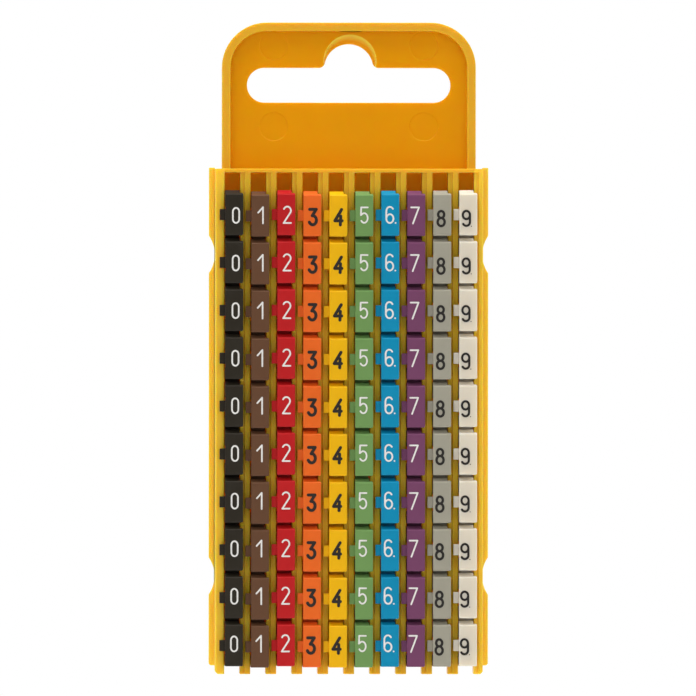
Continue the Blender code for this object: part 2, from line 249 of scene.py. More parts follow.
# The plastics' material slots, with the colour and the glow of each
STRIP_SLOTS = (
    ("strip_black", (0.026, 0.021, 0.014, 1.0), 0.0),
    ("strip_brown", (0.122, 0.056, 0.028, 1.0), 0.0),
    ("strip_red", (0.475, 0.011, 0.013, 1.0), 0.1),
    ("strip_orange", (0.755, 0.132, 0.014, 1.0), 0.2),
    ("strip_yellow", (0.810, 0.435, 0.002, 1.0), 0.2),
    ("strip_green", (0.155, 0.290, 0.089, 1.0), 0.1),
    ("strip_blue", (0.002, 0.245, 0.430, 1.0), 0.1),
    ("strip_violet", (0.170, 0.053, 0.120, 1.0), 0.1),
    ("strip_grey", (0.350, 0.330, 0.262, 1.0), 0.3),
    ("strip_white", (0.700, 0.640, 0.530, 1.0), 0.9),
)
PRINT_COLOURS = {
    "print_white": (0.74, 0.72, 0.68, 1.0),
    "print_black": (0.015, 0.012, 0.010, 1.0),
}

# Places that follow from the frame
TRAY_LOW, TRAY_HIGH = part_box("tray")
FLANGE_HALF = TRAY_HIGH.x
PANEL_TOP = TRAY_HIGH.z
RIB_BOTTOM = TRAY_LOW.z
PLATE_BOTTOM = RIB_BOTTOM + STUB_LENGTH
INNER_HALF = (CHANNEL_PITCH * (CHANNEL_COUNT - 1) + CHANNEL_WIDTH) / 2
WALL_HALF = INNER_HALF + SIDE_WALL_WIDTH
PANEL_HALF = WALL_HALF - SHOULDER_WIDTH
NOTCH_LEVELS = (PLATE_BOTTOM + NOTCH_ABOVE_BOTTOM, TRAY_TOP - NOTCH_BELOW_TOP)
FACE_LEVEL = -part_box("marker_strip_0")[0].y
BODY_BACK = -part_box("marker_strip_0")[1].y
MARKER_HEIGHT = MARKER_PITCH - GROOVE_WIDTH
FACE_HEIGHT = MARKER_HEIGHT - TOP_SLOPE_HEIGHT
PLATE_RISE = TOP_SLOPE_HEIGHT * OVERHANG_THICKNESS / TOP_SLOPE_DEPTH
OVERHANG_BACK = FACE_LEVEL - OVERHANG_THICKNESS
TAB_FRONT = OVERHANG_BACK - TAB_CLEARANCE
TAB_BACK = TAB_FRONT - TAB_THICKNESS
RIB_HIGH = TAB_BACK - SEAT_CLEARANCE
RIB_LOW = RIB_HIGH - RIB_STEP
WEB_FRONT = FACE_LEVEL - WEB_RECESS
WEB_BACK = WEB_FRONT - WEB_THICKNESS


def arc(centre, radius, start, end, step=ARC_STEP):
    """Return points along an arc, both ends included; the angles are in radians."""
    count = max(2, math.ceil(abs(end - start) / step))
    points = []
    for index in range(count + 1):
        angle = start + (end - start) * index / count
        points.append((centre[0] + radius * math.cos(angle), centre[1] + radius * math.sin(angle)))
    return points


def bow(centre, half_width, half_height, start, end):
    """Return points along an elliptic arc in millimetres; the angles are in degrees."""
    first = math.radians(start)
    turn = math.radians(end) - first
    count = max(2, math.ceil(abs(turn) / PRINT_STEP))
    points = []
    for index in range(count + 1):
        angle = first + turn * index / count
        x = centre[0] + half_width * math.cos(angle)
        z = centre[1] + half_height * math.sin(angle)
        points.append((x, z))
    return points


def mirrored(half, middle=()):
    """Close a right-hand half outline, listed upwards, with its mirror image."""
    return list(half) + list(middle) + [(-x, z) for x, z in reversed(half)]


def from_front(x, z, depth):
    """Place a point of an outline seen from the front."""
    return (x, -depth, z)


def from_above(x, depth, z):
    """Place a point of an outline seen from above."""
    return (x, -depth, z)


def from_side(depth, z, x):
    """Place a point of an outline seen from the side."""
    return (x, -depth, z)


def mesh_object(name, shape):
    """Turn a bmesh into an object of the scene."""
    bmesh.ops.recalc_face_normals(shape, faces=shape.faces)
    mesh = bpy.data.meshes.new(name)
    shape.to_mesh(mesh)
    shape.free()
    item = bpy.data.objects.new(name, mesh)
    bpy.context.scene.collection.objects.link(item)
    return item


def add_walls(shape, start, end):
    """Join two loops of points with one wall between each pair of neighbours."""
    for index in range(len(start)):
        following = (index + 1) % len(start)
        shape.faces.new((start[index], end[index], end[following], start[following]))


def add_prism(shape, outline, place, low, high):
    """Sweep a flat outline from low to high along its normal, closed at both ends."""
    start = [shape.verts.new(place(u, v, low)) for u, v in outline]
    end = [shape.verts.new(place(u, v, high)) for u, v in outline]
    add_walls(shape, start, end)
    shape.faces.new(start)
    shape.faces.new(end)


def prism(name, outline, place, low, high):
    """Make an object that is one swept outline."""
    shape = bmesh.new()
    add_prism(shape, outline, place, low, high)
    return mesh_object(name, shape)


def loft(name, outlines, depths):
    """Make an object that blends from one front outline to the next, each at its depth."""
    shape = bmesh.new()
    rings = []
    for outline, depth in zip(outlines, depths):
        rings.append([shape.verts.new(from_front(x, z, depth)) for x, z in outline])
    for lower, upper in zip(rings, rings[1:]):
        add_walls(shape, lower, upper)
    shape.faces.new(rings[0])
    shape.faces.new(rings[-1])
    return mesh_object(name, shape)


def merge_flat_faces(mesh):
    """Merge the pieces that a Boolean leaves of each flat face."""
    shape = bmesh.new()
    shape.from_mesh(mesh)
    bmesh.ops.dissolve_limit(
        shape,
        angle_limit=FLAT_ANGLE,
        verts=shape.verts,
        edges=shape.edges,
    )
    shape.to_mesh(mesh)
    shape.free()


def apply_modifiers(item):
    """Turn an object's modifiers into its mesh."""
    graph = bpy.context.evaluated_depsgraph_get()
    graph.update()
    result = bpy.data.meshes.new_from_object(item.evaluated_get(graph))
    item.modifiers.clear()
    old = item.data
    item.data = result
    bpy.data.meshes.remove(old)


def boolean(target, tool, operation):
    """Join or cut the target with a tool, then remove the tool."""
    modifier = target.modifiers.new(operation.lower(), "BOOLEAN")
    modifier.operation = operation
    modifier.solver = "EXACT"
    modifier.object = tool
    apply_modifiers(target)
    bpy.data.objects.remove(tool, do_unlink=True)
    merge_flat_faces(target.data)


def round_edges(item, width, spared=None):
    """Round every sharp edge of a moulding, apart from those whose middle is spared."""
    shape = bmesh.new()
    shape.from_mesh(item.data)
    weights = shape.edges.layers.float.new("bevel_weight_edge")
    for edge in shape.edges:
        if len(edge.link_faces) == 2 and edge.calc_face_angle() > EDGE_ANGLE:
            middle = (edge.verts[0].co + edge.verts[1].co) / 2
            if not (spared and spared(middle)):
                edge[weights] = 1.0
    shape.to_mesh(item.data)
    shape.free()
    modifier = item.modifiers.new("edges", "BEVEL")
    modifier.width = width
    modifier.segments = EDGE_SEGMENTS
    modifier.limit_method = "WEIGHT"
    modifier.use_clamp_overlap = False
    apply_modifiers(item)


def smooth(item):
    """Shade the round stretches smooth and keep the flat faces flat."""
    item.data.shade_smooth()
    item.data.set_sharp_from_angle(angle=SMOOTH_ANGLE)
    modifier = item.modifiers.new("normals", "WEIGHTED_NORMAL")
    modifier.keep_sharp = True
    apply_modifiers(item)


def channel_centre(index):
    """Return the X of a channel's middle."""
    return CHANNEL_PITCH * (index - (CHANNEL_COUNT - 1) / 2)


def tray_plate():
    """Make the back plate with its flanges and finger notches."""
    corner = (FLANGE_HALF - FLANGE_CORNER, PLATE_BOTTOM + FLANGE_CORNER)
    half = arc(corner, FLANGE_CORNER, -math.pi / 2, 0.0)
    spread = math.acos((NOTCH_RADIUS - NOTCH_DEPTH) / NOTCH_RADIUS)
    for level in NOTCH_LEVELS:
        centre = (FLANGE_HALF - NOTCH_DEPTH + NOTCH_RADIUS, level)
        half += arc(centre, NOTCH_RADIUS, math.pi + spread, math.pi - spread)
    flange_top = TRAY_TOP + FLANGE_RISE
    half += [(FLANGE_HALF, flange_top), (WALL_HALF, flange_top), (WALL_HALF, TRAY_TOP)]
    return prism("tray_moulding", mirrored(half), from_front, 0.0, PLATE_THICKNESS)


def rib(left, right):
    """Make one stepped rib, with its lower ledge under the overhang of the strip on its left."""
    low = (left + RIB_ROUND, RIB_LOW - RIB_ROUND)
    high = (right - RIB_ROUND, RIB_HIGH - RIB_ROUND)
    outline = [(left, 0.0), (right, 0.0)]
    outline += arc(high, RIB_ROUND, 0.0, math.pi / 2, RIB_ROUND_STEP)
    outline += [(left + LEDGE_WIDTH, RIB_HIGH), (left + LEDGE_WIDTH, RIB_LOW)]
    outline += arc(low, RIB_ROUND, math.pi / 2, math.pi, RIB_ROUND_STEP)
    return prism("rib", outline, from_above, RIB_BOTTOM, TRAY_TOP)


def left_wall():
    """Make the left side wall, which no face plate overhangs."""
    outer = (RIB_ROUND - WALL_HALF, RIB_HIGH - RIB_ROUND)
    inner = (-INNER_HALF - RIB_ROUND, RIB_HIGH - RIB_ROUND)
    outline = [(-WALL_HALF, 0.0), (-INNER_HALF, 0.0)]
    outline += arc(inner, RIB_ROUND, 0.0, math.pi / 2, RIB_ROUND_STEP)
    outline += arc(outer, RIB_ROUND, math.pi / 2, math.pi, RIB_ROUND_STEP)
    return prism("left_wall", outline, from_above, RIB_BOTTOM, TRAY_TOP)


def tray_ribs():
    """Return the two side walls and the ribs between the channels."""
    ribs = [left_wall()]
    for index in range(CHANNEL_COUNT - 1):
        left = channel_centre(index) + CHANNEL_WIDTH / 2
        ribs.append(rib(left, channel_centre(index + 1) - CHANNEL_WIDTH / 2))
    ribs.append(rib(INNER_HALF, WALL_HALF))
    return ribs


def stub_corner(side):
    """Make the cutter that slants the outer corner of a side wall's lower end."""
    outline = [
        (side * (WALL_HALF - 2 * STUB_CORNER), RIB_BOTTOM - STUB_CORNER),
        (side * (WALL_HALF + STUB_CORNER), RIB_BOTTOM - STUB_CORNER),
        (side * (WALL_HALF + STUB_CORNER), RIB_BOTTOM + 2 * STUB_CORNER),
    ]
    return prism("stub_corner", outline, from_front, -PLATE_THICKNESS, FACE_LEVEL)


def top_wall():
    """Make the wall that closes the channels at the top, between the side walls' round edges."""
    reach = WALL_HALF - RIB_ROUND
    outline = mirrored([(reach, TRAY_TOP - TOP_WALL), (reach, TRAY_TOP)])
    return prism("top_wall", outline, from_front, 0.0, RIB_HIGH)


def panel_outline(inset, bottom, step=ARC_STEP):
    """Return the hanger's outline, moved inwards by an inset."""
    half_width = PANEL_HALF - inset
    radius = PANEL_CORNER - inset
    centre = (half_width - radius, PANEL_TOP - inset - radius)
    return mirrored([(half_width, bottom)] + arc(centre, radius, 0.0, math.pi / 2, step))


def panel_field():
    """Make the cutter of the hanger's sunk field, whose sides slope outwards."""
    rim_level = PLATE_THICKNESS + RIM_HEIGHT
    outlines = []
    for inset in (RIM_WIDTH + RIM_SLOPE, RIM_WIDTH, RIM_WIDTH):
        outlines.append(panel_outline(inset, TRAY_TOP, FIELD_STEP))
    return loft("field", outlines, (PLATE_THICKNESS, rim_level, RIB_HIGH))


def slot_outline():
    """Return the hanging slot: round ends and a filleted bump in the middle of its top."""
    end_radius = SLOT_HEIGHT / 2
    end_centre = (SLOT_WIDTH / 2 - end_radius, SLOT_TOP - end_radius)
    rise = SLOT_TOP + BUMP_FILLET + BUMP_RADIUS
    reach = math.sqrt((BUMP_RADIUS + BUMP_FILLET) ** 2 - rise**2)
    tilt = math.atan2(rise, reach)
    half = arc(end_centre, end_radius, -math.pi / 2, math.pi / 2)
    half += arc((reach, SLOT_TOP + BUMP_FILLET), BUMP_FILLET, -math.pi / 2, tilt - math.pi)
    bump = arc((0.0, -BUMP_RADIUS), BUMP_RADIUS, tilt, math.pi / 2)
    return mirrored(half + bump[1:-1], [(0.0, 0.0)])


def lead_in():
    """Make the cutter of the crescent bevel round the slot's bump."""
    outlines = []
    depths = []
    for share in LEAD_SHARES:
        radius = BUMP_RADIUS + (LEAD_RADIUS - BUMP_RADIUS) * share
        centre = (LEAD_SHIFT * share, LEAD_RISE * share - BUMP_RADIUS)
        outlines.append(arc(centre, radius, ARC_STEP / 2, 2 * math.pi + ARC_STEP / 2)[:-1])
        depths.append(PLATE_THICKNESS - LEAD_DEPTH * (1.0 - share))
    return loft("lead_in", outlines, depths)


def pin_mark(x, z):
    """Make the cutter of one shallow round ejector mark with a sloping edge."""
    outlines = []
    for radius in (PIN_MARK_RADIUS - PIN_MARK_DEPTH, PIN_MARK_RADIUS, PIN_MARK_RADIUS):
        outlines.append(arc((x, z), radius, 0.0, 2 * math.pi)[:-1])
    depths = (PLATE_THICKNESS - PIN_MARK_DEPTH, PLATE_THICKNESS, RIB_HIGH)
    return loft("pin_mark", outlines, depths)


def fine_edge(point):
    """Say whether a point lies on an edge of the crescent bevel or of an ejector mark."""
    if -point.y < PLATE_THICKNESS - LEAD_DEPTH - TRAY_EDGE:
        return False
    for x in (-PIN_MARK_X, PIN_MARK_X):
        for z in PIN_MARK_LEVELS:
            if math.hypot(point.x - x, point.z - z) < PIN_MARK_RADIUS + TRAY_EDGE:
                return True
    reach = math.hypot(point.x, point.z + BUMP_RADIUS)
    return reach < LEAD_RADIUS + LEAD_RISE + TRAY_EDGE and point.z > SLOT_TOP


def tray_moulding():
    """Make the whole tray moulding."""
    tray = tray_plate()
    for piece in tray_ribs() + [top_wall()]:
        boolean(tray, piece, "UNION")
    panel = panel_outline(0.0, TRAY_TOP - TOP_WALL / 2)
    boolean(tray, prism("panel", panel, from_front, 0.0, PLATE_THICKNESS + RIM_HEIGHT), "UNION")
    boolean(tray, panel_field(), "DIFFERENCE")
    for side in (-1, 1):
        boolean(tray, stub_corner(side), "DIFFERENCE")
    slot = prism("slot", slot_outline(), from_front, -PLATE_THICKNESS, 2 * PLATE_THICKNESS)
    boolean(tray, slot, "DIFFERENCE")
    boolean(tray, lead_in(), "DIFFERENCE")
    for level in PIN_MARK_LEVELS:
        for side in (-1, 1):
            boolean(tray, pin_mark(side * PIN_MARK_X, level), "DIFFERENCE")
    round_edges(tray, TRAY_EDGE, fine_edge)
    smooth(tray)
    return tray


def marker_centre(index):
    """Return the Z of the middle of a marker's face, below its strip's top end."""
    return -(TOP_SLOPE_HEIGHT + FACE_HEIGHT / 2 + MARKER_PITCH * index)


def marker_ends(z):
    """Return the Z of a marker's upper and lower end from the middle of its face."""
    return z + FACE_HEIGHT / 2 + TOP_SLOPE_HEIGHT, z - FACE_HEIGHT / 2


def plate_section(z, top_cut, bottom_cut):
    """Return a face plate's outline from the side, from top to bottom.

    The plate's top is the front of the marker's upper slope. The cuts shorten its back edge
    at the top and the whole plate at the bottom.
    """
    top = z + FACE_HEIGHT / 2
    low = z - FACE_HEIGHT / 2 + bottom_cut
    return [
        (OVERHANG_BACK, top + PLATE_RISE - top_cut),
        (FACE_LEVEL - OVERHANG_THICKNESS * CORNER_LAND / PLATE_RISE, top + CORNER_LAND),
        (FACE_LEVEL, top),
        (FACE_LEVEL, low + FACE_CHAMFER),
        (FACE_LEVEL - FACE_CHAMFER, low),
        (OVERHANG_BACK, low),
    ]


def clip_section(z):
    """Return a marker's back from the side, from bottom to top: two jaws round the wire."""
    high, low = marker_ends(z)
    seat_depth = FACE_LEVEL - CLIP_FRONT_WALL - CLIP_RADIUS
    lip = math.asin(CLIP_MOUTH / 2 / CLIP_RADIUS)
    points = [
        (WEB_BACK, low),
        (BODY_BACK, low),
        (BODY_BACK, z - CLIP_MOUTH / 2 - MOUTH_FLARE),
    ]
    points += arc((seat_depth, z), CLIP_RADIUS, lip - math.pi, math.pi - lip, 2 * ARC_STEP)
    return points + [
        (BODY_BACK, z + CLIP_MOUTH / 2 + MOUTH_FLARE),
        (BODY_BACK, high),
        (WEB_BACK, high),
    ]


def add_overhang(shape, start, z):
    """Draw one face plate out over the rib on its right, with slanted corners."""
    corner = min(OVERHANG_CORNER, PLATE_RISE - CORNER_LAND)
    edge = BODY_WIDTH / 2 + OVERHANG
    for x, cut in ((edge - corner, 0.0), (edge, corner)):
        end = [shape.verts.new(from_side(u, v, x)) for u, v in plate_section(z, cut, cut)]
        add_walls(shape, start, end)
        start = end
    shape.faces.new(start)


def strip_body():
    """Make the markers' bodies, their face plates and the webs between them."""
    centres = [marker_centre(index) for index in range(MARKER_COUNT)]
    front = []
    back = []
    plates = []
    for z in centres:
        high, low = marker_ends(z)
        front += [(WEB_FRONT, high), (FACE_LEVEL - TOP_SLOPE_DEPTH, high)]
        section = plate_section(z, 0.0, 0.0)
        plates.append((z, range(len(front) - 1, len(front) - 1 + len(section))))
        front += section
        front.append((WEB_FRONT, low))
    for z in reversed(centres):
        back += clip_section(z)
    outline = front[1:-1] + back[1:-1]

    shape = bmesh.new()
    left = [shape.verts.new(from_side(u, v, -BODY_WIDTH / 2)) for u, v in outline]
    right = [shape.verts.new(from_side(u, v, BODY_WIDTH / 2)) for u, v in outline]
    add_walls(shape, left, right)
    shape.faces.new(left)
    covered = {index for _, places in plates for index in places[1:-1]}
    shape.faces.new([point for index, point in enumerate(right) if index not in covered])
    for z, places in plates:
        add_overhang(shape, [right[index] for index in places], z)
    # Some walls twist at the slanted corners; the flat ones are merged again by the Booleans
    bmesh.ops.triangulate(shape, faces=[face for face in shape.faces if len(face.verts) == 4])
    return mesh_object("strip_moulding", shape)


def marker_blocks(name, left, right, back, front, half_height):
    """Make one block for each marker of a strip, in line with its tab."""
    shape = bmesh.new()
    for index in range(MARKER_COUNT):
        z = marker_centre(index) + TAB_RAISE
        corners = [
            (left, z - half_height),
            (right, z - half_height),
            (right, z + half_height),
            (left, z + half_height),
        ]
        add_prism(shape, corners, from_front, back, front)
    return mesh_object(name, shape)


def strip_mesh():
    """Return the mesh that every strip shares, with its origin at the strip's top end."""
    strip = strip_body()
    edge = BODY_WIDTH / 2
    half_height = TAB_HEIGHT / 2
    tabs = marker_blocks("tabs", -edge - TAB_REACH, TAB_ROOT - edge, TAB_BACK, TAB_FRONT, half_height)
    boolean(strip, tabs, "UNION")
    floor = edge - (TAB_REACH - OVERHANG) - TAB_CLEARANCE
    pockets = marker_blocks(
        "pockets",
        floor,
        edge + OVERHANG / 2,
        TAB_BACK - TAB_CLEARANCE,
        OVERHANG_BACK,
        half_height + TAB_CLEARANCE,
    )
    boolean(strip, pockets, "DIFFERENCE")
    round_edges(strip, STRIP_EDGE)
    smooth(strip)
    mesh = strip.data
    mesh.name = "strip_moulding"
    bpy.data.objects.remove(strip, do_unlink=True)
    return mesh


def strip_origin(index):
    """Return the middle of a strip's body at its top end, from its solid's box."""
    low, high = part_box(f"marker_strip_{index}")
    return Vector((low.x + TAB_REACH + BODY_WIDTH / 2, 0.0, high.z))


# A digit's function returns the width of its stroke, its open paths, its closed paths and its
# points with their radius; all but the width are in millimetres from the digit's middle
def digit_zero():
    """Return the strokes of a 0."""
    loop = bow((0.0, 0.58), 0.50, 0.60, 0, 180) + bow((0.0, -0.58), 0.50, 0.60, 180, 360)
    return THIN_STROKE, [], [loop], []


def digit_one():
    """Return the strokes of a 1 with a flag and no foot."""
    stem = [(0.36, 1.27), (0.36, -1.27)]
    flag = [(0.36, 1.27), (-0.40, 0.42)]
    return THIN_STROKE, [stem, flag], [], []


def digit_two():
    """Return the strokes of a 2 with a round top and a straight neck."""
    neck = bow((0.0, 0.66), 0.57, 0.62, 155, -38) + [(-0.57, -1.30)]
    foot = [(-0.57, -1.30), (0.58, -1.30)]
    return THIN_STROKE, [neck, foot], [], []


def digit_three():
    """Return the strokes of a 3 with a flat top."""
    bar = [(-0.50, 1.215), (0.54, 1.215)]
    slant = [(0.54, 1.215), (-0.09, 0.21)]
    bowl = bow((-0.02, -0.50), 0.585, 0.715, 97, -155)
    return BOLD_STROKE, [bar, slant, bowl], [], []


def digit_four():
    """Return the strokes of an open 4."""
    slant = [(0.50, 1.20), (-0.56, -0.57)]
    bar = [(-0.56, -0.57), (0.58, -0.57)]
    stem = [(0.36, 0.16), (0.30, -1.22)]
    return BOLD_STROKE, [slant, bar, stem], [], []


def digit_five():
    """Return the strokes of a 5 with a round bowl."""
    bar = [(0.54, 1.24), (-0.50, 1.24)]
    neck = [(-0.50, 1.24), (-0.54, 0.02)]
    bowl = [(-0.54, 0.02)] + bow((-0.02, -0.43), 0.55, 0.76, 135, -145)
    return THIN_STROKE, [bar, neck, bowl], [], []


def digit_six():
    """Return the strokes of a 6, with the point that tells it from a 9."""
    back = bow((0.0, 0.60), 0.56, 0.67, 32, 180) + [(-0.565, -0.58)]
    bowl = bow((0.0, -0.58), 0.565, 0.69, 0, 360)
    return THIN_STROKE, [back], [bowl], [(0.90, -1.27, 0.13)]


def digit_seven():
    """Return the strokes of a 7."""
    bar = [(-0.62, 1.27), (0.62, 1.27)]
    slant = [(0.62, 1.27), (-0.33, -1.27)]
    return THIN_STROKE, [bar, slant], [], []


def digit_eight():
    """Return the strokes of an 8."""
    upper = bow((0.0, 0.62), 0.47, 0.545, 0, 360)
    lower = bow((0.0, -0.56), 0.55, 0.64, 0, 360)
    return ROUND_STROKE, [], [upper, lower], []


def digit_nine():
    """Return the strokes of a 9, with the point that tells it from a 6."""
    bowl = bow((0.0, 0.51), 0.56, 0.645, 0, 360)
    tail = [(0.56, 0.51)] + bow((0.0, -0.62), 0.56, 0.58, 0, -150)
    return NINE_STROKE, [tail], [bowl], [(0.80, -1.27, 0.08)]


DIGITS = (
    digit_zero,
    digit_one,
    digit_two,
    digit_three,
    digit_four,
    digit_five,
    digit_six,
    digit_seven,
    digit_eight,
    digit_nine,
)


def side_steps(points, closed, reach):
    """Return the step from each point of a path to the edge of its stroke."""
    steps = []
    last = len(points) - 1
    for index, point in enumerate(points):
        before = points[index - 1] if index or closed else point
        after = points[(index + 1) % len(points)] if index < last or closed else point
        along = Vector((after[0] - before[0], after[1] - before[1])).normalized()
        steps.append((-along.y * reach, along.x * reach))
    return steps


def stroke(points, width):
    """Make one open stroke of print with round ends."""
    reach = width / 2
    steps = side_steps(points, False, reach)
    left = [(x + a, z + b) for (x, z), (a, b) in zip(points, steps)]
    right = [(x - a, z - b) for (x, z), (a, b) in zip(points, steps)]
    start = math.atan2(-steps[0][1], -steps[0][0])
    end = math.atan2(steps[-1][1], steps[-1][0])
    outline = left + arc(points[-1], reach, end, end - math.pi, PRINT_STEP)[1:-1]
    outline += right[::-1] + arc(points[0], reach, start, start - math.pi, PRINT_STEP)[1:-1]
    return prism("stroke", outline, from_front, FACE_LEVEL, FACE_LEVEL + PRINT_THICKNESS)


def ring(points, width):
    """Make one closed stroke of print."""
    steps = side_steps(points, True, width / 2)
    outer = [(x + a, z + b) for (x, z), (a, b) in zip(points, steps)]
    inner = [(x - a, z - b) for (x, z), (a, b) in zip(points, steps)]
    shape = bmesh.new()
    loops = []
    for outline, level in (
        (outer, FACE_LEVEL),
        (outer, FACE_LEVEL + PRINT_THICKNESS),
        (inner, FACE_LEVEL + PRINT_THICKNESS),
        (inner, FACE_LEVEL),
    ):
        loops.append([shape.verts.new(from_front(x, z, level)) for x, z in outline])
    for index, loop in enumerate(loops):
        add_walls(shape, loop, loops[(index + 1) % len(loops)])
    return mesh_object("ring", shape)


def digit_mesh(number):
    """Make one printed digit, with its origin in its middle."""
    width, open_strokes, closed_strokes, points = DIGITS[number]()
    pieces = []
    for path in open_strokes:
        pieces.append(stroke([(x * MM, z * MM) for x, z in path], width))
    for path in closed_strokes:
        distinct = [
            point
            for point, following in zip(path, path[1:] + path[:1])
            if math.dist(point, following) > SAME_POINT
        ]
        pieces.append(ring([(x * MM, z * MM) for x, z in distinct], width))
    for x, z, radius in points:
        dot = arc((x * MM, z * MM), radius * MM, 0.0, 2 * math.pi, 2 * PRINT_STEP)[:-1]
        pieces.append(prism("dot", dot, from_front, FACE_LEVEL, FACE_LEVEL + PRINT_THICKNESS))
    digit = pieces[0]
    for piece in pieces[1:]:
        boolean(digit, piece, "UNION")
    mesh = digit.data
    bpy.data.objects.remove(digit, do_unlink=True)
    return mesh


def column_print(number):
    """Make the print on one strip: the same digit on each of its markers."""
    digit = digit_mesh(number)
    origin = strip_origin(number)
    across, up = DIGIT_PLACES[number]
    shape = bmesh.new()
    for index in range(MARKER_COUNT):
        done = len(shape.verts)
        shape.from_mesh(digit)
        shape.verts.ensure_lookup_table()
        step = (
            origin.x + OVERHANG / 2 + across + PRINT_DRIFT * index,
            0.0,
            origin.z + marker_centre(0) + up - PRINT_PITCH * index,
        )
        bmesh.ops.translate(shape, verts=shape.verts[done:], vec=step)
    bpy.data.meshes.remove(digit)
    return mesh_object(f"digit_print_{number}", shape)


def link(tree, start, start_name, end, end_name):
    """Join an output of one node to an input of another."""
    tree.links.new(start.outputs[start_name], end.inputs[end_name])


def noise(tree, coordinates, kind):
    """Add a noise texture in object space, of a kind given by its scale and detail."""
    scale, detail = kind
    texture = tree.nodes.new("ShaderNodeTexNoise")
    texture.inputs["Scale"].default_value = scale
    texture.inputs["Detail"].default_value = detail
    link(tree, coordinates, "Object", texture, "Vector")
    return texture


def ramp(tree, source, low, high):
    """Map a noise's middle range to a range of values."""
    node = tree.nodes.new("ShaderNodeMapRange")
    node.inputs["From Min"].default_value = NOISE_LOW
    node.inputs["From Max"].default_value = NOISE_HIGH
    node.inputs["To Min"].default_value = low
    node.inputs["To Max"].default_value = high
    link(tree, source, "Fac", node, "Value")
    return node


def tinted(tree, source, colour, spread):
    """Vary a colour lightly with a noise."""
    node = tree.nodes.new("ShaderNodeMix")
    node.data_type = "RGBA"
    low = [channel * (1.0 - spread) for channel in colour[:3]]
    high = [min(1.0, channel * (1.0 + spread)) for channel in colour[:3]]
    node.inputs[MIX_FIRST_COLOUR].default_value = (*low, 1.0)
    node.inputs[MIX_SECOND_COLOUR].default_value = (*high, 1.0)
    mask = ramp(tree, source, 0.0, 1.0)
    tree.links.new(mask.outputs["Result"], node.inputs[MIX_FACTOR])
    return node


def plastic(name, colour, roughness, specular, glow):
    """Return a moulded plastic with soft colour drift, uneven gloss and a fine grain.

    The glow is the share of light that spreads inside the plastic.
    """
    material = bpy.data.materials.new(name)
    material.use_nodes = True
    tree = material.node_tree
    shader = tree.nodes["Principled BSDF"]
    coordinates = tree.nodes.new("ShaderNodeTexCoord")
    drift = tinted(tree, noise(tree, coordinates, DRIFT_NOISE), colour, COLOUR_DRIFT)
    tree.links.new(drift.outputs[MIX_COLOUR], shader.inputs["Base Color"])
    gloss = ramp(
        tree,
        noise(tree, coordinates, GLOSS_NOISE),
        roughness - ROUGHNESS_BELOW,
        roughness + ROUGHNESS_ABOVE,
    )
    tree.links.new(gloss.outputs["Result"], shader.inputs["Roughness"])
    bump = tree.nodes.new("ShaderNodeBump")
    bump.inputs["Strength"].default_value = GRAIN_STRENGTH
    bump.inputs["Distance"].default_value = GRAIN
    link(tree, noise(tree, coordinates, GRAIN_NOISE), "Fac", bump, "Height")
    link(tree, bump, "Normal", shader, "Normal")
    shader.inputs["Specular IOR Level"].default_value = specular
    shader.inputs["Subsurface Weight"].default_value = glow
    radius = [max(LEAST_GLOW_RADIUS, channel) for channel in colour[:3]]
    shader.inputs["Subsurface Radius"].default_value = radius
    shader.inputs["Subsurface Scale"].default_value = GLOW_REACH
    return material


def span(tree, source, place, band):
    """Return a mask that rises from 0 to 1 over a band, measured from a place."""
    start, end = band
    node = tree.nodes.new("ShaderNodeMapRange")
    node.inputs["From Min"].default_value = place + start
    node.inputs["From Max"].default_value = place + end
    tree.links.new(source, node.inputs["Value"])
    return node.outputs["Result"]


def both(tree, first, second):
    """Return a mask that is 1 only where two masks are."""
    node = tree.nodes.new("ShaderNodeMath")
    node.operation = "MULTIPLY"
    tree.links.new(first, node.inputs[0])
    tree.links.new(second, node.inputs[1])
    return node.outputs[0]


def painted(tree, mask, under, colour):
    """Lay a colour over another one where a mask is 1."""
    node = tree.nodes.new("ShaderNodeMix")
    node.data_type = "RGBA"
    tree.links.new(mask, node.inputs[MIX_FACTOR])
    tree.links.new(under, node.inputs[MIX_FIRST_COLOUR])
    node.inputs[MIX_SECOND_COLOUR].default_value = colour
    return node.outputs[MIX_COLOUR]


